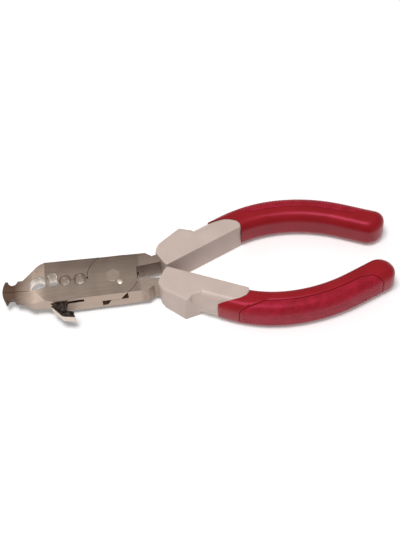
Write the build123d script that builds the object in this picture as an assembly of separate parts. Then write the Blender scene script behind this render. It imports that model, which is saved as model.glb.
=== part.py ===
"""Crimping pliers, lying flat on their side.

Two forged steel levers cross in a half-lap joint and turn on one flush rivet. The front lever carries the
lower jaw and the upper handle, the rear lever the upper jaw and the lower handle. Each steel tang sits in a
hard plastic core whose front end is the finger guard, and a soft grip with an inlaid pad covers the core.
A sprung thumb lever hangs in a slot under the lower jaw.

Everything is drawn about the pivot: X runs from the nose (-) to the handles (+), Y across the jaws towards
the upper handle, Z up through the thickness with 0 at the parting plane of the half-lap. At the end all of
it moves so that the middle of the underside is the origin. Millimetres and degrees.
"""
import os
from math import atan2, cos, degrees, radians, sin, sqrt, tan

from build123d import *

# Head
HEAD_WIDTH = 22.4
HEAD_THICKNESS = 10.6
JAW_SWELL = 0.6
SHOULDER_MARGIN = 1.6
CROTCH_X = 11.8
SHOULDER_GAP = 0.2
FRONT_RELIEF_COVER = 0.6
REAR_RELIEF_COVER = 1.4
LAP_GAP = 0.2
PARTING_GAP = 0.2

# Jaws: the nose runs on past the arch die, then the finger notch and the ramp run back to the full width
NOSE_REACH = 18.1
NOTCH_LENGTH = 10.4
RAMP_LENGTH = 12.2
STEP_DROP = 2.4
STEP_OVERRUN = 0.9
NOSE_ARC_RADIUS = 11.9
NOSE_ARC_DROP = 0.8
HOOK_RISE = 5.2
HOOK_FALL = 6.9
NOSE_THICKNESS = 3.0
FRONT_CREASE_X = 34.0
REAR_CREASE_X = 18.0
REAR_CREASE_DEPTH = 2.7

# Crimping dies, from the nose end backwards
ARCH_X = 37.9
ARCH_RADIUS = 4.2
ARCH_CENTRE_Y = 0.7
SQUARE_X = 30.4
SQUARE_WIDTH = 4.9
SQUARE_TOP = 4.8
SQUARE_CORNER = 1.3
OVAL_DIES = ((24.0, 5.0, 5.4), (16.6, 5.2, 6.0))
DIE_CHAMFER = 0.5
SEAM_HOLE_DIAMETER = 1.0

# Joint
RIVET_DIAMETER = 7.0
RIVET_RUNNING_GAP = 0.05
RIVET_HEAD_DIAMETER = 10.5
RIVET_HEAD_DEPTH = 1.4
RIVET_HEAD_GAP = 0.2
STOP_PIN_ANGLE = -52.0
STOP_PIN_WALL = 0.3
STOP_PIN_DIAMETER = 2.0
STOP_HEAD_DIAMETER = 3.2
STOP_HEAD_DEPTH = 0.8
STOP_PIN_ENGAGEMENT = 2.2
STOP_SLOT_GAP = 0.3
OPENING_ANGLE = 20.0

# Handles
HANDLE_REACH = 138.3
HANDLE_ANGLE = 24.5
HANDLE_START_X = 26.0
HANDLE_START_Y = 6.8
BOW_START_X = 58.0
BOW_TOP_X = 85.0
BOW_END_SETBACK = 21.4
TAIL_DROP = 16.1
GRIP_WIDTH = 13.6
GRIP_THICKNESS = 17.0
GRIP_CORNER = 5.0
GRIP_SIDE_WALL = 1.9
GRIP_FACE_WALL = 3.0
GRIP_START_X = 49.2
GRIP_UNDERLAP = 12.0
CUFF_START_X = 42.0
CORE_SIDE_WALL = 1.6
CORE_FACE_WALL = 2.0
CORE_START_X = 44.0
CORE_END_SETBACK = 6.0
TANG_END_SETBACK = 14.0
GUARD_CHAMFER = 1.2
GUARD_LIP = 1.0
GUARD_TAPER = 1.2
GUARD_CLEARING = 3.0
TONGUE_LENGTH = 17.0
PAD_DEPTH = 1.2
PAD_START_X = 60.0
PAD_FRONT_X = 71.0
PAD_REAR_SETBACK = 15.4
PAD_END_SETBACK = 8.4

# Thumb lever under the lower jaw
SLOT_START_X = 31.6
SLOT_END_X = 15.2
SLOT_ROOF_GAP = 1.1
PLATE_FRONT_SETBACK = 1.8
PLATE_THICKNESS = 1.5
PLATE_SIDE_GAP = 0.3
THUMB_PIN_X = 27.4
THUMB_PIN_INSET = 2.9
THUMB_PIN_DIAMETER = 2.0
THUMB_PIN_GAP = 0.05
THUMB_PIN_COVER = 1.0
THUMB_EYE_RADIUS = 2.6
LIP_THICKNESS = 1.1
LIP_WIDTH = 4.4
SPRING_THICKNESS = 0.5
SPRING_SEAT = 1.6
SPRING_REACH = 7.6

HALF_WIDTH = HEAD_WIDTH / 2
HALF_THICKNESS = HEAD_THICKNESS / 2
SHOULDER_RADIUS = HALF_WIDTH + SHOULDER_MARGIN
JAW_REACH = ARCH_X + NOSE_REACH
RAMP_X = JAW_REACH - NOTCH_LENGTH - RAMP_LENGTH
STEP_END_X = ARCH_X + ARCH_RADIUS + STEP_OVERRUN
THUMB_PIN_Y = THUMB_PIN_INSET - HALF_WIDTH
SLOT_ROOF_Y = THUMB_PIN_Y + THUMB_EYE_RADIUS + SLOT_ROOF_GAP
STOP_PIN_RADIUS = RIVET_DIAMETER / 2 + STOP_PIN_WALL + STOP_HEAD_DIAMETER / 2
BOW_END_X = HANDLE_REACH - BOW_END_SETBACK
TAIL_ANGLE = degrees(atan2(TAIL_DROP, HANDLE_REACH - (BOW_TOP_X + BOW_END_X) / 2))
CORE_WIDTH = GRIP_WIDTH - 2 * GRIP_SIDE_WALL
CORE_THICKNESS = GRIP_THICKNESS - 2 * GRIP_FACE_WALL
TANG_WIDTH = CORE_WIDTH - 2 * CORE_SIDE_WALL
TANG_THICKNESS = CORE_THICKNESS - 2 * CORE_FACE_WALL
PAD_REAR_X = HANDLE_REACH - PAD_REAR_SETBACK
PAD_END_X = HANDLE_REACH - PAD_END_SETBACK
FAR = 200.0


def flat(points):
    """A flat face with straight sides."""
    return make_face(Polyline(*points, close=True))


def slab(face, low, high):
    """The flat face drawn at Z = 0, made solid between two heights."""
    return extrude(Pos(0, 0, low) * face, high - low)


def across(points, low, high):
    """A solid whose outline is drawn in X and Z, running in Y from low to high."""
    face = make_face(Polyline(*[(x, 0, z) for x, z in points], close=True))
    return extrude(Pos(0, low, 0) * face, high - low, dir=(0, 1, 0))


# ---- Jaws -------------------------------------------------------------------------------------------------
def nose_arc_x(y):
    """How far the rounded end of the nose reaches at a height above the axis."""
    inset = NOSE_ARC_RADIUS - sqrt(NOSE_ARC_RADIUS ** 2 - (y + NOSE_ARC_DROP) ** 2)
    return -JAW_REACH + inset


def parting_points(side):
    """The line where the jaws meet, from the pivot to the nose; side is +1 on the upper jaw."""
    gap = side * PARTING_GAP / 2
    step_x = SQUARE_X - SQUARE_WIDTH / 2 + side * PARTING_GAP
    return [
        (0, gap),
        (-step_x, gap),
        (-step_x, gap - STEP_DROP),
        (-STEP_END_X, gap - STEP_DROP),
        (nose_arc_x(gap - NOSE_ARC_DROP), gap - NOSE_ARC_DROP),
    ]


def upper_jaw_face():
    """Upper jaw: hooked nose, finger notch, ramp and the straight back."""
    parting = parting_points(+1)
    tip = (nose_arc_x(HOOK_RISE), HOOK_RISE)
    middle_y = (parting[-1][1] + HOOK_RISE) / 2
    hook_inner = (-JAW_REACH + 3.0, HOOK_RISE - 0.5)
    notch_low = (-JAW_REACH + 4.8, HOOK_RISE - 2.8)
    notch_end = (-JAW_REACH + 7.8, HOOK_RISE - 0.9)
    ramp_foot = (-JAW_REACH + NOTCH_LENGTH, HOOK_RISE - 1.0)
    ramp_top = (-RAMP_X - 6.2, HALF_WIDTH - 1.5)
    ramp_bend = (-RAMP_X - 3.2, HALF_WIDTH + JAW_SWELL - 0.4)
    back_start = (-RAMP_X, HALF_WIDTH + JAW_SWELL)
    edges = [
        Polyline(*parting),
        ThreePointArc(parting[-1], (nose_arc_x(middle_y), middle_y), tip),
        Line(tip, hook_inner),
        ThreePointArc(hook_inner, notch_low, notch_end),
        Polyline(notch_end, ramp_foot, ramp_top),
        ThreePointArc(ramp_top, ramp_bend, back_start),
        Polyline(back_start, (0, HALF_WIDTH), parting[0]),
    ]
    return make_face(edges)


def lower_jaw_face():
    """Lower jaw: hooked nose, finger notch and a shallow heel ahead of the thumb lever."""
    parting = parting_points(-1)
    tip = (nose_arc_x(-HOOK_FALL), -HOOK_FALL)
    middle_y = (parting[-1][1] - HOOK_FALL) / 2
    notch_low = (-JAW_REACH + 4.5, -HOOK_FALL + 2.2)
    notch_end = (-JAW_REACH + 6.4, -HOOK_FALL + 0.4)
    underside = [
        (-JAW_REACH + 10.0, -HOOK_FALL - 0.4),
        (-RAMP_X - 8.1, -HALF_WIDTH + 0.9),
        (-RAMP_X - 2.1, -HALF_WIDTH + 0.9),
        (-RAMP_X + 3.4, -HALF_WIDTH - JAW_SWELL),
        (-RAMP_X + 7.8, -HALF_WIDTH - JAW_SWELL),
        (-RAMP_X + 15.4, -HALF_WIDTH - 0.2),
        (0, -HALF_WIDTH),
    ]
    edges = [
        Polyline(*parting),
        ThreePointArc(parting[-1], (nose_arc_x(middle_y), middle_y), tip),
        Line(tip, (tip[0] + 0.7, tip[1])),
        ThreePointArc((tip[0] + 0.7, tip[1]), notch_low, notch_end),
        Polyline(notch_end, *underside, parting[0]),
    ]
    return make_face(edges)


def thickness_envelope():
    """The side outline of the head: flat at the joint, creased and tapered to a thin nose."""
    nose = NOSE_THICKNESS / 2
    rear = -HALF_THICKNESS + REAR_CREASE_DEPTH
    outline = [
        (FAR, HALF_THICKNESS),
        (-FRONT_CREASE_X, HALF_THICKNESS),
        (-FRONT_CREASE_X - 6.0, 0.62 * HALF_THICKNESS),
        (-JAW_REACH - 1, nose),
        (-JAW_REACH - 1, -nose),
        (-FRONT_CREASE_X, rear),
        (-REAR_CREASE_X, -HALF_THICKNESS),
        (FAR, -HALF_THICKNESS),
    ]
    return across(outline, -FAR, FAR)


def arch_and_square_dies():
    """The two open dies, cut only into the upper jaw above the flat floor of the lower one."""
    floor = -STEP_DROP - 1
    wall_height = ARCH_CENTRE_Y - floor
    arch = Pos(-ARCH_X, ARCH_CENTRE_Y) * Circle(ARCH_RADIUS)
    arch += Pos(-ARCH_X, ARCH_CENTRE_Y - wall_height / 2) * Rectangle(2 * ARCH_RADIUS, wall_height)
    square_height = SQUARE_TOP - floor
    square = Pos(-SQUARE_X, SQUARE_TOP - square_height / 2) * Rectangle(SQUARE_WIDTH, square_height)
    square = fillet(square.vertices().sort_by(Axis.Y)[-2:], SQUARE_CORNER)
    return slab(arch, -FAR, FAR) + slab(square, -FAR, FAR)


def oval_dies():
    """The two round dies, half in each jaw, with a chamfered mouth on each face."""
    cut = Part()
    for x, width, height in OVAL_DIES:
        oval = Pos(-x, 0) * Ellipse(width / 2, height / 2)
        cut += slab(oval, -FAR, FAR)
        cut += extrude(Pos(0, 0, HALF_THICKNESS - DIE_CHAMFER) * oval, 2 * DIE_CHAMFER, taper=-45)
    return cut


# ---- Half-lap joint ---------------------------------------------------------------------------------------
def lap_face():
    """The round half-lap, trimmed to the width of the head and at the crotch."""
    limits = Rectangle(FAR, HEAD_WIDTH) & Pos(CROTCH_X - FAR / 2, 0) * Rectangle(FAR, FAR)
    return Circle(SHOULDER_RADIUS) & limits


def handle_y(x):
    """Height of the upper handle's middle line: straight, bowed out, bowed back, then straight."""
    slope = tan(radians(HANDLE_ANGLE))
    if x <= BOW_START_X:
        return HANDLE_START_Y + (x - HANDLE_START_X) * slope
    run_in = BOW_TOP_X - BOW_START_X
    top_y = handle_y(BOW_START_X) + run_in * tan(radians(HANDLE_ANGLE / 2))
    run_out = BOW_END_X - BOW_TOP_X
    if x > BOW_END_X:
        end_y = top_y - run_out * tan(radians(TAIL_ANGLE / 2))
        return end_y - (x - BOW_END_X) * tan(radians(TAIL_ANGLE))
    if x < BOW_TOP_X:
        radius = run_in / sin(radians(HANDLE_ANGLE))
    else:
        radius = run_out / sin(radians(TAIL_ANGLE))
    return top_y - radius + sqrt(radius ** 2 - (x - BOW_TOP_X) ** 2)


def on_handle(x):
    return (x, handle_y(x))


def bow(start_x, end_x):
    """The stretch of the middle line's bow between two stations on one side of its top."""
    return ThreePointArc(on_handle(start_x), on_handle((start_x + end_x) / 2), on_handle(end_x))


def handle_line(start_x, end_x):
    """Middle line of the upper handle between two stations."""
    return Wire([
        Line(on_handle(start_x), on_handle(BOW_START_X)),
        bow(BOW_START_X, BOW_TOP_X),
        bow(BOW_TOP_X, BOW_END_X),
        Line(on_handle(BOW_END_X), on_handle(end_x)),
    ])


def handle_band(start_x, end_x, width):
    """A flat band with round ends along the handle's middle line."""
    line = handle_line(start_x + width / 2, end_x - width / 2)
    return make_face(offset(line, width / 2, side=Side.BOTH))


def tang_face():
    """The flat tang of the upper handle, from the joint to just inside the finger guard."""
    return flat([
        (0, HALF_WIDTH),
        (CROTCH_X + 4.9, HALF_WIDTH - 0.3),
        (CROTCH_X + 8.1, HALF_WIDTH - 2.6),
        (HANDLE_START_X, HANDLE_START_Y + 3.2),
        (HANDLE_START_X + 4, HANDLE_START_Y + 4.6),
        (HANDLE_START_X + 5, HANDLE_START_Y),
        (HANDLE_START_X - 1.3, HANDLE_START_Y - 2.1),
        (CROTCH_X, HANDLE_START_Y - 3.4),
        (0, HANDLE_START_Y - 3.4),
    ])


def tang_end_x():
    return HANDLE_REACH - TANG_END_SETBACK


def tang_rod():
    """The narrower part of the tang that runs down inside the handle."""
    band = handle_band(HANDLE_START_X - 1, tang_end_x(), TANG_WIDTH)
    return slab(band, -TANG_THICKNESS / 2, TANG_THICKNESS / 2)


def lever_blank(jaw, tang, front):
    """One lever before drilling: jaw and tang at full thickness, joined by a lap of half thickness."""
    shoulder = Circle(SHOULDER_RADIUS + SHOULDER_GAP)
    side = 1 if front else -1
    seat = side * LAP_GAP / 2
    face = side * HALF_THICKNESS
    lap = jaw + lap_face() + tang
    rest = (jaw + tang) - shoulder
    blank = slab(lap, min(seat, face), max(seat, face))
    blank += slab(rest, min(-face, seat), max(-face, seat))
    return blank & thickness_envelope()


def seam_hole():
    """The small drilled hole where the jaws' parting line meets the shoulder."""
    return Pos(-SHOULDER_RADIUS, 0, 0) * Cylinder(SEAM_HOLE_DIAMETER / 2, FAR)


def wedge_relief(x_end, x_seat, x_wall, end_z):
    """Clearance ground into a lap's lower corner, wider at the parting plane than where it ends."""
    outline = [(x_wall, 0), (x_wall, end_z), (x_end, end_z), (x_seat, 0)]
    return across(outline, -HALF_WIDTH - 1, -HALF_WIDTH + 2.2)


def stop_slot():
    """The short curved slot in the rear lap that the stop pin travels in."""
    width = STOP_PIN_DIAMETER + 2 * STOP_SLOT_GAP
    path = CenterArc((0, 0), STOP_PIN_RADIUS, STOP_PIN_ANGLE, OPENING_ANGLE)
    band = make_face(offset(Wire([path]), width / 2, side=Side.BOTH))
    return slab(band, -STOP_PIN_ENGAGEMENT - STOP_SLOT_GAP, 0)


def lower_jaw_lever():
    """Front lever: lower jaw and upper handle, with the fixed ends of both pins and the thumb slot."""
    lever = lever_blank(lower_jaw_face(), tang_face(), front=True)
    lever += tang_rod()
    lever -= oval_dies()
    lever -= seam_hole()
    lever -= Cylinder(RIVET_DIAMETER / 2, FAR)
    lever -= stop_pin()
    corner = sqrt(SHOULDER_RADIUS ** 2 - HALF_WIDTH ** 2)
    lever -= wedge_relief(corner, corner - 3.4, corner + 0.4, HALF_THICKNESS - FRONT_RELIEF_COVER)
    lever -= thumb_slot()
    lever -= thumb_pin()
    lever -= thumb_spring()
    return lever


def upper_jaw_lever():
    """Rear lever: upper jaw with all four dies, and lower handle; it turns on the rivet."""
    lever = lever_blank(upper_jaw_face(), mirror(tang_face(), Plane.XZ), front=False)
    lever += mirror(tang_rod(), Plane.XZ)
    lever -= arch_and_square_dies()
    lever -= oval_dies()
    lever -= seam_hole()
    lever -= Cylinder(RIVET_DIAMETER / 2 + RIVET_RUNNING_GAP, FAR)
    head_seat = Cylinder(RIVET_HEAD_DIAMETER / 2 + RIVET_HEAD_GAP, RIVET_HEAD_DEPTH + RIVET_HEAD_GAP + 1)
    lever -= Pos(0, 0, -HALF_THICKNESS - 0.5 + (RIVET_HEAD_DEPTH + RIVET_HEAD_GAP) / 2) * head_seat
    lever -= stop_slot()
    corner = sqrt(SHOULDER_RADIUS ** 2 - HALF_WIDTH ** 2)
    lever -= wedge_relief(2.0 - corner, 4.4 - corner, -corner - 0.4, REAR_RELIEF_COVER - HALF_THICKNESS)
    return lever


def pivot_rivet():
    """Flush main rivet: a plain shank held in the front lever, with its head sunk in the rear one."""
    rivet = Cylinder(RIVET_DIAMETER / 2, HEAD_THICKNESS)
    head = Cylinder(RIVET_HEAD_DIAMETER / 2, RIVET_HEAD_DEPTH)
    return rivet + Pos(0, 0, -HALF_THICKNESS + RIVET_HEAD_DEPTH / 2) * head


def stop_pin():
    """Stop pin with a polished flush head, pressed through the front lap into the rear lap's slot."""
    length = HALF_THICKNESS + STOP_PIN_ENGAGEMENT
    shank = Pos(0, 0, HALF_THICKNESS - length / 2) * Cylinder(STOP_PIN_DIAMETER / 2, length)
    head = Cylinder(STOP_HEAD_DIAMETER / 2, STOP_HEAD_DEPTH)
    pin = shank + Pos(0, 0, HALF_THICKNESS - STOP_HEAD_DEPTH / 2) * head
    angle = radians(STOP_PIN_ANGLE)
    return Pos(STOP_PIN_RADIUS * cos(angle), STOP_PIN_RADIUS * sin(angle), 0) * pin


# ---- Thumb lever ------------------------------------------------------------------------------------------
def plate_top_z():
    return HALF_THICKNESS - PLATE_FRONT_SETBACK


def thumb_slot():
    """Narrow slot in the underside of the lower jaw for the thumb lever's plate."""
    length = SLOT_START_X - SLOT_END_X
    low = plate_top_z() - PLATE_THICKNESS - PLATE_SIDE_GAP
    depth = SLOT_ROOF_Y + FAR
    outline = Pos(-SLOT_END_X - length / 2, SLOT_ROOF_Y - depth / 2) * Rectangle(length, depth)
    return slab(outline, low, plate_top_z() + PLATE_SIDE_GAP)


def thumb_plate_face():
    """The stamped plate: a round eye on the pin and a web that runs down to the lip."""
    eye = Pos(-THUMB_PIN_X, THUMB_PIN_Y) * Circle(THUMB_EYE_RADIUS)
    web = flat([
        (-THUMB_PIN_X - 2.2, THUMB_PIN_Y),
        (-THUMB_PIN_X - 3.2, THUMB_PIN_Y - 4.6),
        (-THUMB_PIN_X + 1.8, THUMB_PIN_Y - 10.4),
        (-THUMB_PIN_X + 6.9, THUMB_PIN_Y - 11.4),
        (-THUMB_PIN_X + 6.9, THUMB_PIN_Y - 9.2),
        (-THUMB_PIN_X + 3.2, THUMB_PIN_Y - 8.0),
        (-THUMB_PIN_X + 4.4, THUMB_PIN_Y - 3.0),
        (-THUMB_PIN_X + 2.4, THUMB_PIN_Y),
    ])
    return eye + web


def thumb_lip_face():
    """Edge-on outline of the bent lip that the thumb pushes."""
    line = Wire([
        Line((-THUMB_PIN_X - 3.4, THUMB_PIN_Y - 5.0), (-THUMB_PIN_X + 1.0, THUMB_PIN_Y - 10.2)),
        ThreePointArc(
            (-THUMB_PIN_X + 1.0, THUMB_PIN_Y - 10.2),
            (-THUMB_PIN_X + 1.7, THUMB_PIN_Y - 10.8),
            (-THUMB_PIN_X + 2.6, THUMB_PIN_Y - 11.1),
        ),
        Line((-THUMB_PIN_X + 2.6, THUMB_PIN_Y - 11.1), (-THUMB_PIN_X + 6.9, THUMB_PIN_Y - 11.9)),
    ])
    return make_face(offset(line, LIP_THICKNESS / 2, side=Side.BOTH))


def thumb_lever():
    """Stamped thumb lever: plate with its eye on the pin and a lip bent back from its edge."""
    top = plate_top_z()
    lever = slab(thumb_plate_face(), top - PLATE_THICKNESS, top)
    lever += slab(thumb_lip_face(), top - LIP_WIDTH, top)
    return lever - Pos(-THUMB_PIN_X, THUMB_PIN_Y) * Cylinder(THUMB_PIN_DIAMETER / 2 + THUMB_PIN_GAP, FAR)


def thumb_pin():
    """Blind pin of the thumb lever, driven in from the rear face of the lower jaw."""
    slope = REAR_CREASE_DEPTH / (FRONT_CREASE_X - REAR_CREASE_X)
    rear = -HALF_THICKNESS + slope * (THUMB_PIN_X - REAR_CREASE_X)
    length = HALF_THICKNESS - THUMB_PIN_COVER - rear
    middle = rear + length / 2
    return Pos(-THUMB_PIN_X, THUMB_PIN_Y, middle) * Cylinder(THUMB_PIN_DIAMETER / 2, length)


def thumb_spring():
    """Leaf spring under the slot's roof, its root seated in a slit at the slot's end."""
    root = (-SLOT_END_X + SPRING_SEAT, SLOT_ROOF_Y - 1.0)
    tip = (-SLOT_END_X - SPRING_REACH, SLOT_ROOF_Y - 0.6)
    bow = ((root[0] + tip[0]) / 2, SLOT_ROOF_Y - 1.3)
    band = make_face(offset(Wire([ThreePointArc(root, bow, tip)]), SPRING_THICKNESS / 2, side=Side.BOTH))
    low = plate_top_z() - PLATE_THICKNESS
    return slab(band, low, low + PLATE_THICKNESS)


# ---- Handles ----------------------------------------------------------------------------------------------
def guard_face(clearing=0.0):
    """Finger guard and cuff of the upper handle, ending in a tongue; clearing moves its inner side out."""
    outer = GRIP_WIDTH / 2 / cos(radians(HANDLE_ANGLE))
    tongue_x = GRIP_START_X + TONGUE_LENGTH
    tongue_y = handle_y(tongue_x) - outer + GUARD_TAPER
    start_y = handle_y(GRIP_START_X) + outer
    return flat([
        (HANDLE_START_X - 4.0, HANDLE_START_Y + 2.0),
        (HANDLE_START_X - 3.4, HANDLE_START_Y + 4.6),
        (HANDLE_START_X - 1.8, HANDLE_START_Y + 7.2),
        (HANDLE_START_X + 8.0, HANDLE_START_Y + 15.4),
        (HANDLE_START_X + 15.5, HANDLE_START_Y + 13.4),
        (GRIP_START_X - 0.2, start_y - 0.4),
        (GRIP_START_X + 6.8, start_y - 0.5),
        (GRIP_START_X + 11.8, start_y - 1.2),
        (GRIP_START_X + 15.3, start_y - 2.6),
        (tongue_x, tongue_y + 2.0),
        (tongue_x, tongue_y - clearing),
        (HANDLE_START_X + 1.2, HANDLE_START_Y - 6.4 - clearing),
        (HANDLE_START_X - 0.2, HANDLE_START_Y - 4.9),
    ])


def guard_form(growth=0.0, clearing=0.0):
    """The guard as a solid; growth lifts its two faces."""
    half = GRIP_THICKNESS / 2 + growth
    return slab(guard_face(clearing), -half, half)


def core_sleeve():
    """The hidden part of the core that fills the grip."""
    band = handle_band(CORE_START_X, HANDLE_REACH - CORE_END_SETBACK, CORE_WIDTH)
    return slab(band, -CORE_THICKNESS / 2, CORE_THICKNESS / 2)


def handle_core(lever):
    """Hard plastic core moulded round the tang of its lever: finger stop, rounded cuff and hidden sleeve."""
    ahead = Pos(CUFF_START_X - FAR / 2, 0, 0) * Box(FAR, FAR, FAR)
    finger_stop = guard_form() & ahead
    rims = finger_stop.edges().filter_by(Axis.Z, reverse=True)
    rims = [rim for rim in rims if rim.center().X < CUFF_START_X - GUARD_CHAMFER]
    finger_stop = chamfer(rims, GUARD_CHAMFER)
    cuff = (guard_form() & grip_form()) - ahead
    return finger_stop + cuff + core_sleeve() - lever


def grip_form(inset=0.0):
    """The whole soft grip as a rounded bar; inset shrinks it on every side."""
    line = handle_line(GRIP_START_X - GRIP_UNDERLAP, HANDLE_REACH - GRIP_WIDTH / 2)
    band = make_face(offset(line, GRIP_WIDTH / 2 - inset, side=Side.BOTH))
    half = GRIP_THICKNESS / 2 - inset
    bar = slab(band, -half, half)
    rims = bar.edges().filter_by(Axis.Z, reverse=True)
    return fillet(rims, GRIP_CORNER - inset)


def pad_zone():
    """The outer half of the grip, where the pad is let in."""
    lead = GRIP_WIDTH / 2 + 1
    edges = [
        bow(PAD_FRONT_X, BOW_TOP_X),
        bow(BOW_TOP_X, BOW_END_X),
        Polyline(
            on_handle(BOW_END_X),
            on_handle(PAD_REAR_X),
            (PAD_END_X, handle_y(PAD_END_X) + lead),
            (PAD_END_X, FAR),
            (PAD_START_X, FAR),
            (PAD_START_X, handle_y(PAD_START_X) + lead),
            on_handle(PAD_FRONT_X),
        ),
    ]
    return slab(make_face(edges), -FAR, FAR)


def pad_shell():
    """The skin of the grip, one pad depth thick, over the pad's zone."""
    return (grip_form() - grip_form(PAD_DEPTH)) & pad_zone()


def soft_grip():
    """Soft grip moulded over the core, behind the guard, with the recess for the pad."""
    behind_guard = Pos(GRIP_START_X + FAR / 2, 0, 0) * Box(FAR, FAR, FAR)
    return (grip_form() & behind_guard) - guard_form(GUARD_LIP, GUARD_CLEARING) - core_sleeve() - pad_shell()


# ---- Assembly ---------------------------------------------------------------------------------------------
def main():
    front_lever = lower_jaw_lever()
    rear_lever = upper_jaw_lever()
    upper_core = handle_core(front_lever)
    lower_core = mirror(handle_core(mirror(rear_lever, Plane.XZ)), Plane.XZ)
    upper_grip = soft_grip()
    upper_pad = pad_shell()
    nodes = {
        "lower_jaw_lever": front_lever,
        "upper_jaw_lever": rear_lever,
        "pivot_rivet": pivot_rivet(),
        "stop_pin": stop_pin(),
        "thumb_lever": thumb_lever(),
        "thumb_lever_pin": thumb_pin(),
        "thumb_lever_spring": thumb_spring(),
        "upper_handle_core": upper_core,
        "lower_handle_core": lower_core,
        "upper_grip": upper_grip,
        "lower_grip": mirror(upper_grip, Plane.XZ),
        "upper_grip_pad": upper_pad,
        "lower_grip_pad": mirror(upper_pad, Plane.XZ),
    }
    box = Compound(children=[Compound(solid.solids()) for solid in nodes.values()]).bounding_box()
    shift = (-box.center().X, -box.center().Y, -box.min.Z)
    os.makedirs("parts", exist_ok=True)
    for name, solid in nodes.items():
        placed = [Pos(*shift) * piece for piece in solid.solids()]
        export_step(placed[0] if len(placed) == 1 else Compound(placed), f"parts/{name}.step")
    print("pivot at", [round(value, 4) for value in shift])


main()
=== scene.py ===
"""Crimping pliers lying on their side: steel jaws, moulded finger guards and red soft grips."""

import math

import bpy
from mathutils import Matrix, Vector


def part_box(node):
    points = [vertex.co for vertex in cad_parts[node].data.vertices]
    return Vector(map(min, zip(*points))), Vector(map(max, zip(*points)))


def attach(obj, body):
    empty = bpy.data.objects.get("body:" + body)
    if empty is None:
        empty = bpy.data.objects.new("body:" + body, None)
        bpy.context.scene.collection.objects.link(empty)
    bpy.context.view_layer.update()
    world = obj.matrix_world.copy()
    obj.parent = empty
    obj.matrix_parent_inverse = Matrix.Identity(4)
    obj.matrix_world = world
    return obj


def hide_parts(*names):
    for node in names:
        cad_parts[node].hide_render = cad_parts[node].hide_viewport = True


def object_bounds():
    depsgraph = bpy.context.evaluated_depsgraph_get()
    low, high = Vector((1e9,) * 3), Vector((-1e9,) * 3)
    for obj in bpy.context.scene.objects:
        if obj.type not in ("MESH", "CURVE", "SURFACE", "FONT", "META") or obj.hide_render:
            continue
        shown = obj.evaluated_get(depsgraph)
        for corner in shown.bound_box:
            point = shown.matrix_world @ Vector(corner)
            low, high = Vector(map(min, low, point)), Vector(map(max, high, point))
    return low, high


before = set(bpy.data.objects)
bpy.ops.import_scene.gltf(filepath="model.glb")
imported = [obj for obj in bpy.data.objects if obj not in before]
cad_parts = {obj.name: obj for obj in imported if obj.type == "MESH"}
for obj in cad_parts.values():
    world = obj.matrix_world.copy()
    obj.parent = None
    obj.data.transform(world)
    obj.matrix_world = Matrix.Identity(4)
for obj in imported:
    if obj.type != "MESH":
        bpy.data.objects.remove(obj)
cad_low, cad_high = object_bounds()

MM = 0.001
rivet_low, rivet_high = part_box("pivot_rivet")
PIVOT = (rivet_low + rivet_high) / 2
TOOL_CENTRE = (cad_low + cad_high) / 2


# ---- Camera ------------------------------------------------------------------------------------------------
# A long lens looks down on the tool from in front of the lower handle.
# It is turned a little, so that the nose sits lower than the grips.
CAMERA_ELEVATION = 57.0
CAMERA_ROLL = -6.5
CAMERA_DISTANCE = 600 * MM
CAMERA_AIM = TOOL_CENTRE + Vector((2.3, 1.8, 1.1)) * MM
elevation = math.radians(CAMERA_ELEVATION)
bpy.ops.object.camera_add(
    location=CAMERA_AIM + Vector((0, -math.cos(elevation), math.sin(elevation))) * CAMERA_DISTANCE
)
camera = bpy.context.object
camera.rotation_mode = "ZYX"
camera.rotation_euler = (math.radians(90) - elevation, 0, math.radians(CAMERA_ROLL))
camera.data.sensor_width = 36
camera.data.lens = 81
camera.data.clip_start = 0.01
bpy.context.scene.camera = camera
bpy.context.scene.view_settings.view_transform = "Standard"


# ---- Table and light ---------------------------------------------------------------------------------------
# The tool lies on an opal light table, which keeps its shadow faint.
# One soft box hangs almost overhead, a wider one stands behind the nose and lights the ground edges.
def srgb(code):
    """A six-digit colour code as the linear colour that a shader takes."""
    values = [int(code[place:place + 2], 16) / 255 for place in (0, 2, 4)]
    linear = [v / 12.92 if v <= 0.04045 else ((v + 0.055) / 1.055) ** 2.4 for v in values]
    return (*linear, 1)


def add_node(material, kind, settings=None, **links):
    """Adds a shader node; settings go on its properties or sockets, links join its sockets to other outputs."""
    node = material.node_tree.nodes.new(kind)
    for name, value in (settings or {}).items():
        if isinstance(name, int) or name in node.inputs:
            node.inputs[name].default_value = value
        else:
            setattr(node, name, value)
    for name, output in links.items():
        place = int(name[1:]) if name[1:].isdigit() else name.replace("_", " ")
        material.node_tree.links.new(output, node.inputs[place])
    return node


def new_material(name, **settings):
    """A material and its one Principled shader, with constant values set on the shader's own sockets."""
    material = bpy.data.materials.new(name)
    material.use_nodes = True
    shader = material.node_tree.nodes["Principled BSDF"]
    for socket, value in settings.items():
        shader.inputs[socket.replace("_", " ")].default_value = value
    return material, shader


def drive(material, shader, **outputs):
    """Joins outputs to the shader's sockets."""
    for socket, output in outputs.items():
        material.node_tree.links.new(output, shader.inputs[socket.replace("_", " ")])


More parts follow.
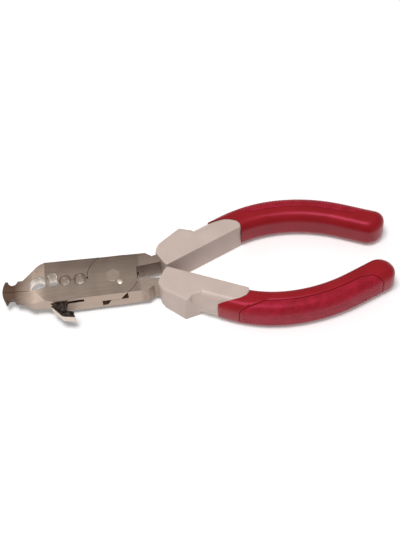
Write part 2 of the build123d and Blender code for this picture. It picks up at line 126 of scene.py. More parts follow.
# Opal acrylic, sanded: even and white, glowing a little from below.
opal, opal_shader = new_material(
    "opal_acrylic_sanded", Roughness=0.8, Specular_IOR_Level=0.1, Emission_Strength=0.12,
    Emission_Color=srgb("ffffff"),
)
opal_place = add_node(opal, "ShaderNodeTexCoord")
opal_haze = add_node(
    opal, "ShaderNodeTexNoise", {"Scale": 900.0, "Detail": 2.0}, Vector=opal_place.outputs["Object"],
)
opal_tone = add_node(opal, "ShaderNodeValToRGB", _0=opal_haze.outputs["Fac"])
opal_tone.color_ramp.elements[0].color = srgb("f6f6f6")
opal_tone.color_ramp.elements[1].color = srgb("fafafa")
drive(opal, opal_shader, Base_Color=opal_tone.outputs["Color"])

bpy.ops.mesh.primitive_plane_add(size=8, location=(0, 0, 0))
table_top = bpy.context.object
table_top.name = "table_top"
table_top.data.materials.append(opal)

world = bpy.data.worlds.new("studio")
world.use_nodes = True
world.node_tree.nodes["Background"].inputs["Color"].default_value = srgb("ffffff")
world.node_tree.nodes["Background"].inputs["Strength"].default_value = 0.36
bpy.context.scene.world = world


def soft_box(name, place, size, power):
    """A square area light aimed at the tool."""
    bpy.ops.object.light_add(type="AREA", location=place)
    light = bpy.context.object
    light.name = name
    light.data.shape = "SQUARE"
    light.data.size = size
    light.data.energy = power
    light.rotation_mode = "QUATERNION"
    light.rotation_quaternion = (TOOL_CENTRE - Vector(place)).to_track_quat("-Z", "Y")


soft_box("overhead_box", (-0.1, -0.16, 1.0), 0.32, 7.2)
soft_box("back_left_box", (-0.6, 0.6, 0.75), 0.5, 1.3)


# ---- Levers ------------------------------------------------------------------------------------------------
# Two levers drop-forged from tool steel, ground on their faces and edges and left bright.
# They are the machined solids with every sharp edge broken by the wheel.
def bare(piece):
    """Leaves only this piece selected and active."""
    bpy.ops.object.select_all(action="DESELECT")
    piece.select_set(True)
    bpy.context.view_layer.objects.active = piece


def finish_edges(piece, width, smooth_angle=35, segments=2):
    """Breaks the sharp edges by a small width and smooths the shading between flat faces."""
    bare(piece)
    if width:
        edge = piece.modifiers.new("broken_edges", "BEVEL")
        edge.width = width * MM
        edge.segments = segments
        edge.limit_method = "ANGLE"
        edge.angle_limit = math.radians(30)
        edge.use_clamp_overlap = True
        bpy.ops.object.modifier_apply(modifier=edge.name)
    bpy.ops.object.shade_smooth_by_angle(angle=math.radians(smooth_angle))
    flats = piece.modifiers.new("true_flats", "WEIGHTED_NORMAL")
    flats.keep_sharp = True
    bpy.ops.object.modifier_apply(modifier=flats.name)


def machined(node, name, width):
    """A copy of a machined solid with its facets joined and its edges broken; it stands for that solid."""
    piece = bpy.data.objects.new(name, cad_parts[node].data.copy())
    bpy.context.scene.collection.objects.link(piece)
    piece.data.materials.clear()
    bare(piece)
    bpy.ops.object.mode_set(mode="EDIT")
    bpy.ops.mesh.select_all(action="SELECT")
    bpy.ops.mesh.remove_doubles(threshold=0.002 * MM)
    bpy.ops.mesh.dissolve_limited(angle_limit=math.radians(0.4))
    bpy.ops.object.mode_set(mode="OBJECT")
    finish_edges(piece, width)
    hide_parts(node)
    return piece


# Ground tool steel: a warm grey metal with fine lines along the jaws, duller and pitted where it was forged.
GRIND_LINE = 0.9
steel, steel_shader = new_material("tool_steel_surface_ground", Metallic=1.0)
steel_place = add_node(steel, "ShaderNodeTexCoord")
steel_axes = add_node(steel, "ShaderNodeSeparateXYZ", Vector=steel_place.outputs["Object"])
steel_stretch = add_node(
    steel, "ShaderNodeMapping", {"Scale": (60, 1 / (GRIND_LINE * MM), 1 / (GRIND_LINE * MM))},
    Vector=steel_place.outputs["Object"],
)
steel_lines = add_node(
    steel, "ShaderNodeTexNoise", {"Scale": 1.0, "Detail": 4.0, "Roughness": 0.6},
    Vector=steel_stretch.outputs["Vector"],
)
steel_blotch = add_node(
    steel, "ShaderNodeTexNoise", {"Scale": 130.0, "Detail": 3.0}, Vector=steel_place.outputs["Object"],
)
steel_scale = add_node(
    steel, "ShaderNodeTexNoise", {"Scale": 1500.0, "Detail": 4.0}, Vector=steel_place.outputs["Object"],
)
forged_zone = add_node(
    steel, "ShaderNodeMapRange",
    {"From Min": PIVOT.x + 12.5 * MM, "From Max": PIVOT.x + 14.5 * MM}, Value=steel_axes.outputs["X"],
)
steel_tone = add_node(steel, "ShaderNodeValToRGB", _0=steel_lines.outputs["Fac"])
steel_tone.color_ramp.elements[0].position = 0.3
steel_tone.color_ramp.elements[0].color = srgb("b09d8f")
steel_tone.color_ramp.elements[1].position = 0.75
steel_tone.color_ramp.elements[1].color = srgb("bfac9e")
forged_tone = add_node(steel, "ShaderNodeValToRGB", _0=steel_scale.outputs["Fac"])
forged_tone.color_ramp.elements[0].position = 0.35
forged_tone.color_ramp.elements[0].color = srgb("a08f83")
forged_tone.color_ramp.elements[1].position = 0.7
forged_tone.color_ramp.elements[1].color = srgb("b6a598")
steel_mix = add_node(
    steel, "ShaderNodeMix", {"data_type": "RGBA"},
    _0=forged_zone.outputs["Result"], _6=steel_tone.outputs["Color"], _7=forged_tone.outputs["Color"],
)
# Painted shade: the steel's colour is darkened towards +Y, the far long edge of the faces, where the rolled faces turn
# from the light.
far_edge_shade_zone = add_node(
    steel, "ShaderNodeMapRange",
    {"From Min": PIVOT.y - 1.0 * MM, "From Max": PIVOT.y + 11.5 * MM, "To Min": 0.12, "To Max": 0.55},
    Value=steel_axes.outputs["Y"],
)
steel_far_edge_shade = add_node(
    steel, "ShaderNodeMix", {"data_type": "RGBA", "blend_type": "MULTIPLY", 7: srgb("7d6a60")},
    _0=far_edge_shade_zone.outputs["Result"], _6=steel_mix.outputs[2],
)
# Painted shade: the steel's colour is darkened towards the nose, to hold down the back soft box's reflection there.
nose_shade_zone = add_node(
    steel, "ShaderNodeMapRange",
    {"From Min": PIVOT.x - 40.0 * MM, "From Max": PIVOT.x - 50.0 * MM, "To Min": 0.0, "To Max": 0.95},
    Value=steel_axes.outputs["X"],
)
steel_nose_shade = add_node(
    steel, "ShaderNodeMix", {"data_type": "RGBA", "blend_type": "MULTIPLY", 7: srgb("7d6a60")},
    _0=nose_shade_zone.outputs["Result"], _6=steel_far_edge_shade.outputs[2],
)
steel_gloss = add_node(
    steel, "ShaderNodeMapRange", {"To Min": 0.26, "To Max": 0.42}, Value=steel_blotch.outputs["Fac"],
)
steel_rough = add_node(
    steel, "ShaderNodeMath", {"operation": "MULTIPLY_ADD", 1: 0.2}, _0=forged_zone.outputs["Result"],
    _2=steel_gloss.outputs["Result"],
)
line_height = add_node(
    steel, "ShaderNodeBump", {"Strength": 0.1, "Distance": 0.04 * MM}, Height=steel_lines.outputs["Fac"],
)
forged_height = add_node(
    steel, "ShaderNodeBump", {"Distance": 0.08 * MM}, Strength=forged_zone.outputs["Result"],
    Height=steel_scale.outputs["Fac"], Normal=line_height.outputs["Normal"],
)
drive(
    steel, steel_shader, Base_Color=steel_nose_shade.outputs[2], Roughness=steel_rough.outputs["Value"],
    Normal=forged_height.outputs["Normal"],
)

# Tool steel on the walls of the dies, its colour painted paler than the levers' as a painted reflection of the white
# surroundings.
die_steel, die_shader = new_material("tool_steel_die_walls_painted_light", Metallic=1.0)
die_place = add_node(die_steel, "ShaderNodeTexCoord")
die_marks = add_node(
    die_steel, "ShaderNodeTexNoise", {"Scale": 1200.0, "Detail": 3.0}, Vector=die_place.outputs["Object"],
)
die_painted_light_tone = add_node(die_steel, "ShaderNodeValToRGB", _0=die_marks.outputs["Fac"])
die_painted_light_tone.color_ramp.elements[0].color = srgb("e2d6cc")
die_painted_light_tone.color_ramp.elements[1].color = srgb("f4ebe2")
die_gloss = add_node(
    die_steel, "ShaderNodeMapRange", {"To Min": 0.18, "To Max": 0.34}, Value=die_marks.outputs["Fac"],
)
drive(die_steel, die_shader, Base_Color=die_painted_light_tone.outputs["Color"], Roughness=die_gloss.outputs["Result"])

DIE_ZONE = ((-43.5, -13.7), (-3.1, 5.5))
for node, body in (("lower_jaw_lever", "front_lever"), ("upper_jaw_lever", "rear_lever")):
    lever = machined(node, node + "_ground", 0.3)
    lever.data.materials.append(steel)
    lever.data.materials.append(die_steel)
    # The side walls inside the dies take the paler steel: a painted reflection.
    for face in lever.data.polygons:
        place = (face.center - PIVOT) / MM
        inside = all(low < value < high for value, (low, high) in zip(place, DIE_ZONE))
        if inside and abs(face.normal.z) < 0.5:
            face.material_index = 1
    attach(lever, body)


# ---- Rivet and pins ----------------------------------------------------------------------------------------
# The main rivet is set flush and ground off with the face, so only a faint disc shows.
# The stop pin beside it has a small domed head, polished bright; the thumb lever turns on a plain cross pin.
rivet_steel, rivet_shader = new_material("rivet_steel_ground_flush", Metallic=1.0)
rivet_place = add_node(rivet_steel, "ShaderNodeTexCoord")
rivet_lines = add_node(
    rivet_steel, "ShaderNodeTexNoise", {"Scale": 900.0, "Detail": 3.0}, Vector=rivet_place.outputs["Object"],
)
rivet_tone = add_node(rivet_steel, "ShaderNodeValToRGB", _0=rivet_lines.outputs["Fac"])
rivet_tone.color_ramp.elements[0].color = srgb("b09d8f")
rivet_tone.color_ramp.elements[1].color = srgb("bfac9e")
rivet_gloss = add_node(
    rivet_steel, "ShaderNodeMapRange", {"To Min": 0.3, "To Max": 0.45}, Value=rivet_lines.outputs["Fac"],
)
drive(rivet_steel, rivet_shader, Base_Color=rivet_tone.outputs["Color"], Roughness=rivet_gloss.outputs["Result"])
rivet = machined("pivot_rivet", "pivot_rivet_ground", 0.12)
rivet.data.materials.append(rivet_steel)
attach(rivet, "front_lever")

pin_steel, pin_shader = new_material("pin_steel_polished", Metallic=1.0)
pin_place = add_node(pin_steel, "ShaderNodeTexCoord")
pin_haze = add_node(
    pin_steel, "ShaderNodeTexNoise", {"Scale": 700.0, "Detail": 2.0}, Vector=pin_place.outputs["Object"],
)
pin_tone = add_node(pin_steel, "ShaderNodeValToRGB", _0=pin_haze.outputs["Fac"])
pin_tone.color_ramp.elements[0].color = srgb("c9b9ac")
pin_tone.color_ramp.elements[1].color = srgb("e2d3c6")
pin_gloss = add_node(
    pin_steel, "ShaderNodeMapRange", {"To Min": 0.4, "To Max": 0.48}, Value=pin_haze.outputs["Fac"],
)
drive(pin_steel, pin_shader, Base_Color=pin_tone.outputs["Color"], Roughness=pin_gloss.outputs["Result"])
for node in ("stop_pin", "thumb_lever_pin"):
    pin = machined(node, node + "_polished", 0.15)
    pin.data.materials.append(pin_steel)
    if node == "stop_pin":
        head_low, head_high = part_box(node)
        bpy.ops.object.select_all(action="DESELECT")
        bpy.ops.mesh.primitive_uv_sphere_add(
            segments=48, ring_count=24, radius=(head_high.x - head_low.x) / 2, scale=(1, 1, 0.3),
            location=((head_low.x + head_high.x) / 2, (head_low.y + head_high.y) / 2, head_high.z - 0.05 * MM),
        )
        dome = bpy.context.object
        dome.data.materials.append(pin_steel)
        bpy.ops.object.shade_smooth()
        bpy.ops.object.select_all(action="DESELECT")
        dome.select_set(True)
        pin.select_set(True)
        bpy.context.view_layer.objects.active = pin
        bpy.ops.object.join()
    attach(pin, "front_lever")


# ---- Thumb lever -------------------------------------------------------------------------------------------
# The thumb lever is stamped from sheet steel and blackened in oil; the front faces of its lip are bright, partly worn
# and partly a painted reflection of the floor.
# A blued leaf spring behind it pushes it out of its slot.
black, black_shader = new_material("sheet_steel_oil_blackened", Metallic=1.0)
black_place = add_node(black, "ShaderNodeTexCoord")
black_wear = add_node(
    black, "ShaderNodeTexNoise", {"Scale": 500.0, "Detail": 4.0}, Vector=black_place.outputs["Object"],
)
black_tone = add_node(black, "ShaderNodeValToRGB", _0=black_wear.outputs["Fac"])
black_tone.color_ramp.elements[0].position = 0.4
black_tone.color_ramp.elements[0].color = srgb("2b2320")
black_tone.color_ramp.elements[1].position = 0.75
black_tone.color_ramp.elements[1].color = srgb("6a5e57")
black_gloss = add_node(
    black, "ShaderNodeMapRange", {"To Min": 0.25, "To Max": 0.5}, Value=black_wear.outputs["Fac"],
)
drive(black, black_shader, Base_Color=black_tone.outputs["Color"], Roughness=black_gloss.outputs["Result"])
thumb_lever = machined("thumb_lever", "thumb_lever_blackened", 0.12)
thumb_lever.data.materials.append(black)
thumb_lever.data.materials.append(pin_steel)
# The lip's faces that turn towards the front take the bright pin steel: partly wear, partly a painted reflection of
# the floor.
for face in thumb_lever.data.polygons:
    if face.normal.y < -0.3 and abs(face.normal.z) < 0.3 and face.center.y < PIVOT.y - 12.0 * MM:
        face.material_index = 1
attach(thumb_lever, "thumb_lever")

blued, blued_shader = new_material("spring_steel_blued", Metallic=1.0)
blued_place = add_node(blued, "ShaderNodeTexCoord")
blued_cloud = add_node(
    blued, "ShaderNodeTexNoise", {"Scale": 400.0, "Detail": 2.0}, Vector=blued_place.outputs["Object"],
)
blued_tone = add_node(blued, "ShaderNodeValToRGB", _0=blued_cloud.outputs["Fac"])
blued_tone.color_ramp.elements[0].color = srgb("3d4456")
blued_tone.color_ramp.elements[1].color = srgb("5d6070")
blued_gloss = add_node(
    blued, "ShaderNodeMapRange", {"To Min": 0.25, "To Max": 0.4}, Value=blued_cloud.outputs["Fac"],
)
drive(blued, blued_shader, Base_Color=blued_tone.outputs["Color"], Roughness=blued_gloss.outputs["Result"])
spring = machined("thumb_lever_spring", "thumb_lever_leaf_spring", 0.05)
spring.data.materials.append(blued)
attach(spring, "front_lever")


# ---- Grips: the straight bar ---------------------------------------------------------------------------------
# Each grip is a thick sleeve of soft red rubber moulded over the core, bowed outwards and rounded at its end.
# It is made as a straight bar with rounded edges and then bent along the handle's middle line.
GRIP_WIDTH = 13.6
GRIP_THICKNESS = 17.0
GRIP_START_X = 49.2
GRIP_EDGE = 5.0
GRIP_INNER_TIP = 8.2
GRIP_OUTER_TIP = 5.2
BAR_LENGTH = 105.6
HANDLE_POINTS = ((37.2, 11.9), (58.0, 21.38), (85.0, 27.24), (116.9, 20.67), (138.3, 11.44))
HANDLE_SLOPES = (24.5, 24.5, 0.0, -23.0, -23.0)


def select_edges(piece, wanted):
    """Selects the edges whose two ends, in millimetres about the pivot, pass a test."""
    bare(piece)
    bpy.ops.object.mode_set(mode="EDIT")
    bpy.ops.mesh.select_all(action="DESELECT")
    bpy.ops.mesh.select_mode(type="EDGE")
    bpy.ops.object.mode_set(mode="OBJECT")
    for edge in piece.data.edges:
        ends = [(piece.data.vertices[index].co - PIVOT) / MM for index in edge.vertices]
        edge.select = wanted(*ends)
    bpy.ops.object.mode_set(mode="EDIT")


bpy.ops.object.select_all(action="DESELECT")
bpy.ops.curve.primitive_bezier_curve_add()
middle_line = bpy.context.object
middle_line.location = PIVOT
middle_line.data.dimensions = "2D"
middle_line.data.resolution_u = 48
stations = middle_line.data.splines[0].bezier_points
stations.add(len(HANDLE_POINTS) - len(stations))
for index, (point, slope) in enumerate(zip(HANDLE_POINTS, HANDLE_SLOPES)):
    place = Vector((*point, 0)) * MM
    lean = Vector((math.cos(math.radians(slope)), math.sin(math.radians(slope)), 0))
    before = (point[0] - HANDLE_POINTS[index - 1][0]) / 3 if index else 4.0
    after = (HANDLE_POINTS[index + 1][0] - point[0]) / 3 if index < len(HANDLE_POINTS) - 1 else 4.0
    stations[index].handle_left_type = "FREE"
    stations[index].handle_right_type = "FREE"
    stations[index].co = place
    stations[index].handle_left = place - lean * before / lean.x * MM
    stations[index].handle_right = place + lean * after / lean.x * MM


def bend(piece):
    """Bends a straight piece along the handle's middle line."""
    bare(piece)
    for vertex in piece.data.vertices:
        vertex.co -= PIVOT
    piece.location = PIVOT
    follow = piece.modifiers.new("bent_to_handle", "CURVE")
    follow.object = middle_line
    follow.deform_axis = "POS_X"
    bpy.ops.object.modifier_apply(modifier=follow.name)
    bpy.ops.object.transform_apply(location=True, rotation=True, scale=True)


def straight_bar(name, inner_edge):
    """The grip as a straight bar, its outer long edges full and its inner ones as given."""
    bpy.ops.object.select_all(action="DESELECT")
    bpy.ops.mesh.primitive_cube_add(size=1, location=(0, 0, 0))
    bar = bpy.context.object
    bar.name = name
    for vertex in bar.data.vertices:
        vertex.co = Vector((
            (vertex.co.x + 0.5) * BAR_LENGTH, vertex.co.y * GRIP_WIDTH, vertex.co.z * GRIP_THICKNESS,
        )) * MM + PIVOT
    if inner_edge == GRIP_EDGE:
        select_edges(bar, lambda a, b: min(a.x, b.x) > 1 and abs(a.z - b.z) > 1 and a.y < 0)
        bpy.ops.mesh.bevel(offset=GRIP_INNER_TIP * MM, segments=9, affect="EDGES")
        bpy.ops.object.mode_set(mode="OBJECT")
        select_edges(bar, lambda a, b: min(a.x, b.x) > 1 and abs(a.z - b.z) > 1 and min(a.y, b.y) > 6.7)
        bpy.ops.mesh.bevel(offset=GRIP_OUTER_TIP * MM, segments=7, affect="EDGES")
        bpy.ops.object.mode_set(mode="OBJECT")
        select_edges(bar, lambda a, b: abs(a.z - b.z) < 0.1 and max(a.x, b.x) > 1)
        bpy.ops.mesh.bevel(offset=GRIP_EDGE * MM, segments=7, affect="EDGES")
        bpy.ops.object.mode_set(mode="OBJECT")
    else:
        select_edges(bar, lambda a, b: min(a.y, b.y) > 1 and abs(a.x - b.x) > 1)
        bpy.ops.mesh.bevel(offset=GRIP_EDGE * MM, segments=7, profile=0.35, affect="EDGES")
        bpy.ops.object.mode_set(mode="OBJECT")
        select_edges(bar, lambda a, b: max(a.y, b.y) < -1 and abs(a.x - b.x) > 1)
        bpy.ops.mesh.bevel(offset=inner_edge * MM, segments=2, affect="EDGES")
        bpy.ops.object.mode_set(mode="OBJECT")
    bpy.ops.object.mode_set(mode="EDIT")
    for step in range(1, 51):
        bpy.ops.mesh.select_all(action="SELECT")
        bpy.ops.mesh.bisect(plane_co=PIVOT + Vector((2 * step, 0, 0)) * MM, plane_no=(1, 0, 0))
    bpy.ops.object.mode_set(mode="OBJECT")
    return bar


grip = straight_bar("upper_grip_sleeve", GRIP_EDGE)
cuff = straight_bar("cuff", 0.8)
bend(cuff)


# ---- Finger guards -----------------------------------------------------------------------------------------
# Each guard is the visible front of the hard nylon core that is moulded round the tang.
# Ahead is the finger stop, a thick block with full edges and a leaning ridge on its outer side.
# Behind it a cuff with the grip's own section narrows into a tongue that the soft grip laps round.
GUARD_THICKNESS = 17.0
TONGUE = ((66.0, 18.0), (66.0, 20.0), (64.5, 22.1), (61.0, 23.5), (56.0, 24.2), (50.0, 24.4), (GRIP_START_X, 26.0))
CUFF_OUTLINE = ((30.0, 1.6), *TONGUE, (41.5, 20.9), (37.0, 19.5))
TONGUE_SEAT = ((30.0, -4.0), (66.0, 12.0), *TONGUE[1:], (41.5, 20.9), (37.0, 19.5))
STOP_OUTLINE = (
    (22.0, 8.8), (25.8, 1.9), (27.2, 0.4), (44.0, 8.0), (43.0, 16.0), (41.5, 20.2), (33.6, 22.2),
    (24.2, 14.0), (22.6, 11.4),
)
RIDGE_X = 33.6
RIDGE_LEAN = (1.0, -0.7)
STOP_EDGE = 1.3
SHOULDER_EDGE = 2.2
SKIN_GRID = 0.3
HOLLOW_EDGE = (
    (36.6, 20.2), (37.4, 18.8), (39.0, 17.8), (41.6, 17.4), (44.6, 18.3), (47.4, 20.1), (50.2,
    22.8), (52.0, 26.0),
    (56.0, 40.0), (36.0, 40.0),
)
HOLLOW_SLOPE = 8.0
GUARD_GRAIN = 0.28


def drawn_slab(name, outline, thickness):
    """A flat outline about the pivot, in millimetres, extruded to a thickness centred on the pivot's height."""
    bpy.ops.object.select_all(action="DESELECT")
    bpy.ops.mesh.primitive_circle_add(vertices=len(outline), fill_type="NGON")
    piece = bpy.context.object
    piece.name = name
    for vertex, (x, y) in zip(piece.data.vertices, outline):
        vertex.co = PIVOT + Vector((x, y, -thickness / 2)) * MM
    piece.location = (0, 0, 0)
    bpy.ops.object.mode_set(mode="EDIT")
    bpy.ops.mesh.select_all(action="SELECT")
    bpy.ops.mesh.extrude_region_move(TRANSFORM_OT_translate={"value": (0, 0, thickness * MM)})
    bpy.ops.mesh.select_all(action="SELECT")
    bpy.ops.mesh.normals_make_consistent(inside=False)
    bpy.ops.object.mode_set(mode="OBJECT")
    return piece


def apply_boolean(piece, cutter, operation="DIFFERENCE"):
    """Cuts a piece with another and removes the cutter."""
    bare(piece)
    cut = piece.modifiers.new("cut", "BOOLEAN")
    cut.operation = operation
    cut.object = cutter
    cut.solver = "EXACT"
    bpy.ops.object.modifier_apply(modifier=cut.name)
    bpy.data.objects.remove(cutter)


def moulded_skin(piece):
    """Melts a piece's overlapping blocks into one closed skin."""
    bare(piece)
    skin = piece.modifiers.new("moulded_skin", "REMESH")
    skin.mode = "VOXEL"
    skin.voxel_size = SKIN_GRID * MM
    bpy.ops.object.modifier_apply(modifier=skin.name)


apply_boolean(cuff, drawn_slab("cuff_outline", CUFF_OUTLINE, GUARD_THICKNESS + 4), "INTERSECT")
guard = drawn_slab("upper_guard", STOP_OUTLINE, GUARD_THICKNESS)
for vertex in guard.data.vertices:
    place = (vertex.co - PIVOT) / MM
    if abs(place.x - RIDGE_X) < 0.1 and place.z > 0:
        vertex.co += Vector((*RIDGE_LEAN, 0)) * MM
select_edges(guard, lambda a, b: min(a.z, b.z) > 8 and max(a.x, b.x) < 37.0 and min(a.y, b.y) > 8)
bpy.ops.mesh.bevel(offset=STOP_EDGE * MM, segments=4, affect="EDGES")
bpy.ops.object.mode_set(mode="OBJECT")
select_edges(
    guard,
    lambda a, b: min(a.z, b.z) > 5 and min(a.y, b.y) > 19 and min(a.x, b.x) > 33 and max(a.x, b.x) > 41,
)
bpy.ops.mesh.bevel(offset=SHOULDER_EDGE * MM, segments=5, affect="EDGES")
bpy.ops.object.mode_set(mode="OBJECT")
bare(guard)
cuff.select_set(True)
bpy.ops.object.join()
moulded_skin(guard)


def mirrored_copy(piece, name):
    """The same moulding for the other handle, turned over the tool's middle line."""
    other = bpy.data.objects.new(name, piece.data.copy())
    bpy.context.scene.collection.objects.link(other)
    for vertex in other.data.vertices:
        vertex.co.y = 2 * PIVOT.y - vertex.co.y
    bare(other)
    bpy.ops.object.mode_set(mode="EDIT")
    bpy.ops.mesh.select_all(action="SELECT")
    bpy.ops.mesh.flip_normals()
    bpy.ops.object.mode_set(mode="OBJECT")
    return other


lower_guard = mirrored_copy(guard, "lower_guard")

# The thumb hollow is scooped from the upper outer edge of the lower guard.
# The upper handle is turned over, so its own hollow is on the underside.
for side, piece in ((1, guard), (-1, lower_guard)):
    outline = [(x, side * y) for x, y in HOLLOW_EDGE]
    hollow = drawn_slab(piece.name + "_hollow", outline, GUARD_THICKNESS + 2)
    for vertex in hollow.data.vertices:
        place = (vertex.co - PIVOT) / MM
        if place.z * side > 0 and abs(place.y) < 30:
            vertex.co.y += side * HOLLOW_SLOPE * MM
    apply_boolean(piece, hollow)
    moulded_skin(piece)
    relax = piece.modifiers.new("relaxed_skin", "SMOOTH")
    relax.factor = 0.5
    relax.iterations = 5
    bpy.ops.object.modifier_apply(modifier=relax.name)
    bpy.ops.object.shade_smooth()

# Glass-filled nylon, spark-eroded mould: warm pale grey, satin, with a fine even grain.
# The grain is drawn at 0.28 mm, coarser than the real one, so that it shows at all.
nylon, nylon_shader = new_material("nylon_spark_eroded", Specular_IOR_Level=0.5, IOR=1.53)
nylon_place = add_node(nylon, "ShaderNodeTexCoord")
nylon_grain = add_node(
    nylon, "ShaderNodeTexNoise", {"Scale": 1 / (GUARD_GRAIN * MM), "Detail": 2.0},
    Vector=nylon_place.outputs["Object"],
)
nylon_cloud = add_node(
    nylon, "ShaderNodeTexNoise", {"Scale": 90.0, "Detail": 3.0}, Vector=nylon_place.outputs["Object"],
)
nylon_tone = add_node(nylon, "ShaderNodeValToRGB", _0=nylon_cloud.outputs["Fac"])
nylon_tone.color_ramp.elements[0].position = 0.3
nylon_tone.color_ramp.elements[0].color = srgb("baa79d")
nylon_tone.color_ramp.elements[1].position = 0.7
nylon_tone.color_ramp.elements[1].color = srgb("c2afa5")
nylon_gloss = add_node(
    nylon, "ShaderNodeMapRange", {"To Min": 0.36, "To Max": 0.5}, Value=nylon_grain.outputs["Fac"],
)
nylon_height = add_node(
    nylon, "ShaderNodeBump", {"Strength": 0.15, "Distance": 0.06 * MM}, Height=nylon_grain.outputs["Fac"],
)
drive(
    nylon, nylon_shader, Base_Color=nylon_tone.outputs["Color"], Roughness=nylon_gloss.outputs["Result"],
    Normal=nylon_height.outputs["Normal"],
)
for piece, node, body in (
    (guard, "upper_handle_core", "front_lever"),
    (lower_guard, "lower_handle_core", "rear_lever"),
):
    piece.data.materials.append(nylon)
    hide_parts(node)
    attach(piece, body)


# ---- Grips: sleeve and pad ---------------------------------------------------------------------------------
# The sleeve starts behind the guard, where a narrow groove is left round the guard's tongue.
# The pad is a second rubber let into its outer side, with a narrow groove all round and small raised dots.
PAD_EDGES = (
    ((27.2, 6.8), (38.8, 0.0)), ((38.8, 0.0), (87.2, 0.0)), ((87.2, 0.0), (93.2, 2.2)), ((93.2,
    2.2), (96.7, 6.8)),
)
PAD_CORNER_Y = 2.2
PAD_GROOVE = 0.3
PAD_STEP = 0.9
DOT_PITCH = 1.5
DOT_ROW = 1.1
DOT_DIAMETER = 0.85
DOT_HEIGHT = 0.16
DOT_FRONT_MARGIN = 1.6
DOT_REAR_MARGIN = 1.4
bare(grip)
bpy.ops.object.mode_set(mode="EDIT")
for (x1, y1), (x2, y2) in PAD_EDGES:
    bpy.ops.mesh.select_all(action="SELECT")
    bpy.ops.mesh.bisect(plane_co=PIVOT + Vector((x1, y1, 0)) * MM, plane_no=Vector((y1 - y2, x2 - x1, 0)).normalized())
bpy.ops.mesh.select_mode(type="FACE")
bpy.ops.mesh.select_all(action="DESELECT")
bpy.ops.object.mode_set(mode="OBJECT")


def outside_edge(place, start, end):
    """How far a place lies to the outer side of a straight pad edge, in millimetres."""
    (x1, y1), (x2, y2) = start, end
    return ((x2 - x1) * (place.y - y1) - (y2 - y1) * (place.x - x1)) / math.hypot(x2 - x1, y2 - y1)


def edge_x(y, edge):
    """Where a slanting pad edge stands at a given distance from the bar's middle, in millimetres."""
    (x1, y1), (x2, y2) = edge
    return x1 + (y - y1) * (x2 - x1) / (y2 - y1)


def in_pad(place):
    """Whether a place on the straight bar belongs to the pad."""
    return all(outside_edge(place, *edge) > 0.01 for edge in PAD_EDGES)


for face in grip.data.polygons:
    face.select = in_pad((face.center - PIVOT) / MM)
bpy.ops.object.mode_set(mode="EDIT")
bpy.ops.mesh.duplicate()
bpy.ops.mesh.separate(type="SELECTED")
bpy.ops.object.mode_set(mode="OBJECT")
pad = next(piece for piece in bpy.context.selected_objects if piece is not grip)
pad.name = "upper_grip_pad_stippled"
bare(grip)
bpy.ops.object.mode_set(mode="EDIT")
bpy.ops.mesh.select_all(action="DESELECT")
bpy.ops.object.mode_set(mode="OBJECT")
for face in grip.data.polygons:
    face.select = in_pad((face.center - PIVOT) / MM)
bpy.ops.object.mode_set(mode="EDIT")
bpy.ops.mesh.extrude_region_shrink_fatten(TRANSFORM_OT_shrink_fatten={"value": -PAD_STEP * MM})
bpy.ops.object.mode_set(mode="OBJECT")

bare(pad)
bpy.ops.object.mode_set(mode="EDIT")
bpy.ops.mesh.select_mode(type="FACE")
bpy.ops.mesh.select_all(action="SELECT")
bpy.ops.mesh.inset(thickness=PAD_GROOVE * MM, use_boundary=True)
bpy.ops.mesh.select_all(action="INVERT")
bpy.ops.mesh.delete(type="FACE")
bpy.ops.object.mode_set(mode="OBJECT")
bare(pad)
bpy.ops.object.mode_set(mode="EDIT")
bpy.ops.mesh.select_all(action="SELECT")
bpy.ops.transform.shrink_fatten(value=-DOT_HEIGHT * MM)
bpy.ops.object.mode_set(mode="OBJECT")
wall = pad.modifiers.new("pad_wall", "SOLIDIFY")
wall.thickness = (PAD_STEP - DOT_HEIGHT - 0.1) * MM
wall.offset = -1
bpy.ops.object.modifier_apply(modifier=wall.name)
for piece in (grip, pad):
    finish_edges(piece, 0.28, smooth_angle=50)

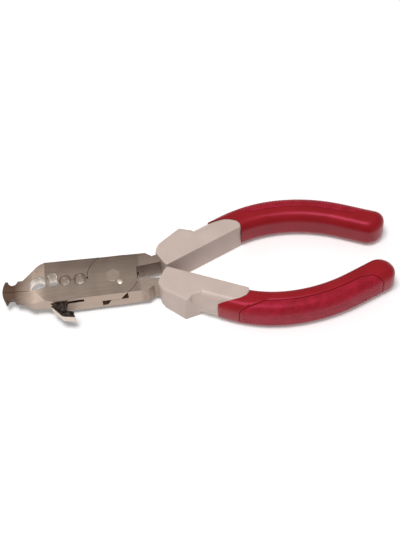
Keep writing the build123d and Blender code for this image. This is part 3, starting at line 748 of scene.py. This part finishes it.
# The raised dots stand in rows along the pad, every other row set half a pitch on.
flat_side = GRIP_THICKNESS - 2 * GRIP_EDGE
flat_face = GRIP_WIDTH / 2 - GRIP_EDGE
quarter = math.pi / 2 * GRIP_EDGE
rows_each_way = int((flat_side / 2 + quarter + flat_face - 0.7) / DOT_ROW)
rows = []
for row in range(-rows_each_way, rows_each_way + 1):
    along = abs(row) * DOT_ROW
    turn = min(max((along - flat_side / 2) / GRIP_EDGE, 0.0), math.pi / 2)
    side_y = GRIP_WIDTH / 2 - GRIP_EDGE + GRIP_EDGE * math.cos(turn) - max(along - flat_side / 2 - quarter, 0.0)
    side_z = min(along, flat_side / 2) + GRIP_EDGE * math.sin(turn)
    start_x = edge_x(side_y, PAD_EDGES[0]) + DOT_FRONT_MARGIN + (row % 2) * DOT_PITCH / 2
    end_x = edge_x(side_y, PAD_EDGES[2] if side_y < PAD_CORNER_Y else PAD_EDGES[3]) - DOT_REAR_MARGIN
    outward = Vector((0, math.cos(turn), math.sin(turn) * (1 if row > 0 else -1)))
    seat = Vector((start_x, side_y, math.copysign(side_z, row))) - outward * DOT_HEIGHT
    bpy.ops.object.select_all(action="DESELECT")
    bpy.ops.mesh.primitive_uv_sphere_add(segments=8, ring_count=6, radius=DOT_DIAMETER / 2 * MM)
    dots = bpy.context.object
    bpy.ops.transform.resize(value=(1, 1, 2 * DOT_HEIGHT / DOT_DIAMETER))
    bpy.ops.object.transform_apply(location=False, rotation=False, scale=True)
    dots.rotation_mode = "QUATERNION"
    dots.rotation_quaternion = outward.to_track_quat("Z", "X")
    dots.location = PIVOT + seat * MM
    bpy.ops.object.transform_apply(location=True, rotation=True, scale=True)
    bpy.ops.object.shade_smooth()
    line = dots.modifiers.new("row", "ARRAY")
    line.count = int((end_x - start_x) / DOT_PITCH) + 1
    line.use_relative_offset = False
    line.use_constant_offset = True
    line.constant_offset_displace = (DOT_PITCH * MM, 0, 0)
    bpy.ops.object.modifier_apply(modifier=line.name)
    rows.append(dots)
bare(pad)
for dots in rows:
    dots.select_set(True)
bpy.ops.object.join()
for piece in (grip, pad):
    bend(piece)
bpy.data.objects.remove(middle_line)
apply_boolean(grip, drawn_slab("tongue_seat", TONGUE_SEAT, GUARD_THICKNESS + 4))
bpy.ops.object.select_all(action="DESELECT")
bpy.ops.mesh.primitive_cube_add(size=60 * MM, location=PIVOT + Vector((GRIP_START_X - 30, 20, 0)) * MM)
apply_boolean(grip, bpy.context.object)
bare(grip)
bpy.ops.object.shade_smooth_by_angle(angle=math.radians(50))

# Soft red rubber, moulded: a deep red that shines softly, with a pink bloom where light grazes it.
rubber, rubber_shader = new_material(
    "soft_rubber_moulded_red", IOR=1.5, Specular_Tint=srgb("ff6f96"),
    Sheen_Weight=0.04, Sheen_Roughness=0.4, Sheen_Tint=srgb("ff5a90"),
)
rubber_place = add_node(rubber, "ShaderNodeTexCoord")
rubber_cloud = add_node(
    rubber, "ShaderNodeTexNoise", {"Scale": 70.0, "Detail": 3.0}, Vector=rubber_place.outputs["Object"],
)
rubber_tone = add_node(rubber, "ShaderNodeValToRGB", _0=rubber_cloud.outputs["Fac"])
rubber_tone.color_ramp.elements[0].position = 0.3
rubber_tone.color_ramp.elements[0].color = srgb("87191c")
rubber_tone.color_ramp.elements[1].position = 0.7
rubber_tone.color_ramp.elements[1].color = srgb("951d22")
rubber_grain = add_node(
    rubber, "ShaderNodeTexNoise", {"Scale": 3000.0, "Detail": 2.0}, Vector=rubber_place.outputs["Object"],
)
rubber_gloss = add_node(
    rubber, "ShaderNodeMapRange", {"To Min": 0.3, "To Max": 0.44}, Value=rubber_grain.outputs["Fac"],
)
rubber_height = add_node(
    rubber, "ShaderNodeBump", {"Strength": 0.15, "Distance": 0.05 * MM}, Height=rubber_grain.outputs["Fac"],
)
drive(
    rubber, rubber_shader, Base_Color=rubber_tone.outputs["Color"], Roughness=rubber_gloss.outputs["Result"],
    Normal=rubber_height.outputs["Normal"],
)
grip.data.materials.append(rubber)

# Stippled rubber, moulded: the same red a little pinker, its raised dots catching the light one by one.
stipple, stipple_shader = new_material(
    "soft_rubber_stippled", IOR=1.5, Specular_Tint=srgb("ff6f96"),
    Sheen_Weight=0.06, Sheen_Roughness=0.4, Sheen_Tint=srgb("ff5a90"),
)
stipple_place = add_node(stipple, "ShaderNodeTexCoord")
stipple_cloud = add_node(
    stipple, "ShaderNodeTexNoise", {"Scale": 260.0, "Detail": 3.0}, Vector=stipple_place.outputs["Object"],
)
stipple_grain = add_node(
    stipple, "ShaderNodeTexNoise", {"Scale": 2200.0, "Detail": 2.0}, Vector=stipple_place.outputs["Object"],
)
stipple_tone = add_node(stipple, "ShaderNodeValToRGB", _0=stipple_cloud.outputs["Fac"])
stipple_tone.color_ramp.elements[0].position = 0.35
stipple_tone.color_ramp.elements[0].color = srgb("8c1a22")
stipple_tone.color_ramp.elements[1].position = 0.65
stipple_tone.color_ramp.elements[1].color = srgb("a02030")
stipple_gloss = add_node(
    stipple, "ShaderNodeMapRange", {"To Min": 0.36, "To Max": 0.5}, Value=stipple_grain.outputs["Fac"],
)
stipple_height = add_node(
    stipple, "ShaderNodeBump", {"Strength": 0.15, "Distance": 0.05 * MM}, Height=stipple_grain.outputs["Fac"],
)
drive(
    stipple, stipple_shader, Base_Color=stipple_tone.outputs["Color"],
    Roughness=stipple_gloss.outputs["Result"],
    Normal=stipple_height.outputs["Normal"],
)
pad.data.materials.append(stipple)

lower_grip = mirrored_copy(grip, "lower_grip_sleeve")
lower_pad = mirrored_copy(pad, "lower_grip_pad_stippled")
for piece, node, slot, body in (
    (grip, "upper_grip", "grip_rubber", "front_lever"),
    (pad, "upper_grip_pad", "pad_rubber", "front_lever"),
    (lower_grip, "lower_grip", "grip_rubber", "rear_lever"),
    (lower_pad, "lower_grip_pad", "pad_rubber", "rear_lever"),
):
    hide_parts(node)
    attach(piece, body)
